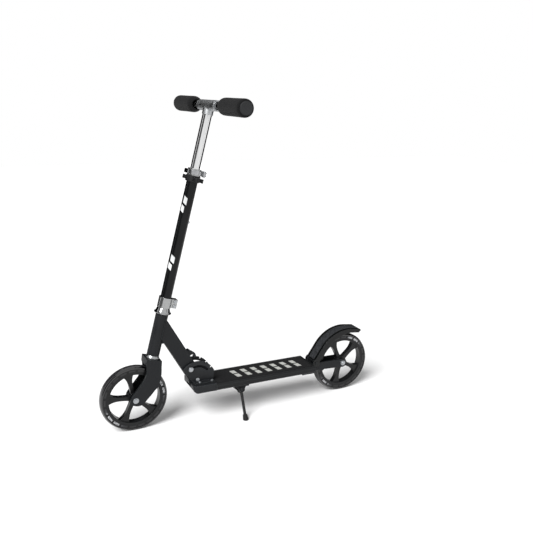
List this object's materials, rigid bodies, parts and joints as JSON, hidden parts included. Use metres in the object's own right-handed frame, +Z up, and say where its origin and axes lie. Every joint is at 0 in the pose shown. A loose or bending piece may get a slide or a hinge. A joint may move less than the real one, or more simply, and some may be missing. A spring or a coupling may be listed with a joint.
{
  "type": "kick scooter",
  "caption": "Folding kick scooter: flat deck between large wheels, telescoping steering column with T handlebar, foot brake fender and side stand.",
  "frame": {"origin": "on the floor, midway between the two axles, in the middle plane", "axes": "+X forward along the deck, +Y to the rider's left, +Z up"},
  "size_m": [0.908, 0.504, 0.9585],
  "materials": {
    "frame_paint": "satin charcoal black powder coat",
    "deck_paint": "satin black extrusion",
    "nose_paint": "satin black casting",
    "plate_paint": "satin black steel plate",
    "grip_tape": "gritty dark grey sheet",
    "bolt_steel": "zinc plated",
    "axle_steel": "zinc plated",
    "bearing_steel": "ground",
    "stand_paint": "satin black",
    "stand_rubber": "matte",
    "fender_paint": "satin black sheet",
    "brake_block": "matte",
    "latch_steel": "satin black",
    "clamp_aluminium": "brushed",
    "tee_aluminium": "brushed",
    "lever_metal": "polished",
    "headset_chrome": "polished",
    "race_aluminium": "turned",
    "spacer_chrome": "turned and polished",
    "holder_plastic": "matte",
    "column_paint": "gloss black",
    "stem_chrome": "polished",
    "bar_chrome": "polished",
    "foam": "soft foam",
    "plug_plastic": "matte",
    "tyre_rubber": "smoky glossy polyurethane",
    "wheel_plastic": "moulded",
    "reflector": "reflecting foil"
  },
  "bodies": {
    "deck_frame": {"deck": "deck_paint", "griptape": "grip_tape", "nose_block": "nose_paint", "hinge_plate_left": "plate_paint", "hinge_plate_right": "plate_paint", "plate_screws": "bolt_steel", "fold_pivot_bolt": "bolt_steel", "rear_fork": "frame_paint", "rear_fork_screws": "bolt_steel", "rear_axle": "axle_steel", "rear_spacers": "axle_steel", "kickstand_bracket": "stand_paint", "kickstand_bolt": "bolt_steel", "fender_pin": "bolt_steel"},
    "front_frame": {"down_tube": "frame_paint", "head_tube": "frame_paint", "lower_bearing": "bearing_steel", "upper_bearing": "bearing_steel", "lock_bolt": "bolt_steel", "latch_pin": "bolt_steel"},
    "latch": {"latch_hook": "latch_steel"},
    "steering": {"fork": "frame_paint", "steerer": "bearing_steel", "fork_race": "race_aluminium", "headset_ring": "headset_chrome", "headset_spacer": "spacer_chrome", "lower_clamp": "clamp_aluminium", "clamp_bolts": "bolt_steel", "steering_tube": "column_paint", "upper_clamp": "clamp_aluminium", "clamp_skewer": "bolt_steel", "bar_holder": "holder_plastic", "front_axle": "axle_steel", "front_spacers": "axle_steel"},
    "quick_lever": {"clamp_lever": "lever_metal"},
    "stem": {"inner_stem": "stem_chrome", "tee_piece": "tee_aluminium"},
    "left_bar": {"bar_left": "bar_chrome", "grip_left": "foam", "grip_plug_left": "plug_plastic"},
    "right_bar": {"bar_right": "bar_chrome", "grip_right": "foam", "grip_plug_right": "plug_plastic"},
    "front_wheel": {"front_tyre": "tyre_rubber", "front_wheel_core": "wheel_plastic", "front_bearings": "bearing_steel", "front_reflectors": "reflector"},
    "rear_wheel": {"rear_tyre": "tyre_rubber", "rear_wheel_core": "wheel_plastic", "rear_bearings": "bearing_steel", "rear_reflectors": "reflector"},
    "rear_fender": {"fender": "fender_paint", "fender_brake_pad": "brake_block"},
    "kickstand": {"kickstand_leg": "stand_paint", "kickstand_foot": "stand_rubber"}
  },
  "joints": [
    {"name": "fold", "type": "hinge", "parent": "deck_frame", "child": "front_frame", "pos_m": [0.164, 0, 0.132], "axis": [0, -1, 0], "range_deg": [0, 79]},
    {"name": "latch_release", "type": "hinge", "parent": "front_frame", "child": "latch", "pos_m": [0.18416, 0, 0.21955], "axis": [0, 1, 0], "range_deg": [0, 20], "stiffness_Nm_per_rad": 0.2, "springref_deg": -17.19},
    {"name": "steer", "type": "hinge", "parent": "front_frame", "child": "steering", "pos_m": [0.32586, 0, 0.09298], "axis": [-0.2419, 0, 0.9703], "range_deg": [-180, 180]},
    {"name": "front_wheel_spin", "type": "hinge", "parent": "steering", "child": "front_wheel", "pos_m": [0.354, 0, 0.1], "axis": [0, 1, 0], "continuous": true},
    {"name": "rear_wheel_spin", "type": "hinge", "parent": "deck_frame", "child": "rear_wheel", "pos_m": [-0.354, 0, 0.1], "axis": [0, 1, 0], "continuous": true},
    {"name": "stem_height", "type": "slide", "parent": "steering", "child": "stem", "axis": [-0.2419, 0, 0.9703], "range_m": [-0.138, 0]},
    {"name": "left_bar_pull", "type": "slide", "parent": "stem", "child": "left_bar", "axis": [0, 1, 0], "range_m": [0, 0.04]},
    {"name": "right_bar_pull", "type": "slide", "parent": "stem", "child": "right_bar", "axis": [0, -1, 0], "range_m": [0, 0.04]},
    {"name": "clamp_lever_open", "type": "hinge", "parent": "steering", "child": "quick_lever", "pos_m": [0.13762, 0.0155, 0.74672], "axis": [-0.2419, 0, 0.9703], "range_deg": [0, 110]},
    {"name": "fender_brake", "type": "hinge", "parent": "deck_frame", "child": "rear_fender", "pos_m": [-0.249, 0, 0.117], "axis": [0, -1, 0], "range_deg": [0, 4], "stiffness_Nm_per_rad": 25, "springref_deg": -1.72},
    {"name": "kickstand_fold", "type": "hinge", "parent": "deck_frame", "child": "kickstand", "pos_m": [0.027, 0.039, 0.08], "axis": [0, 0.866, 0.5], "range_deg": [0, 86]}
  ]
}
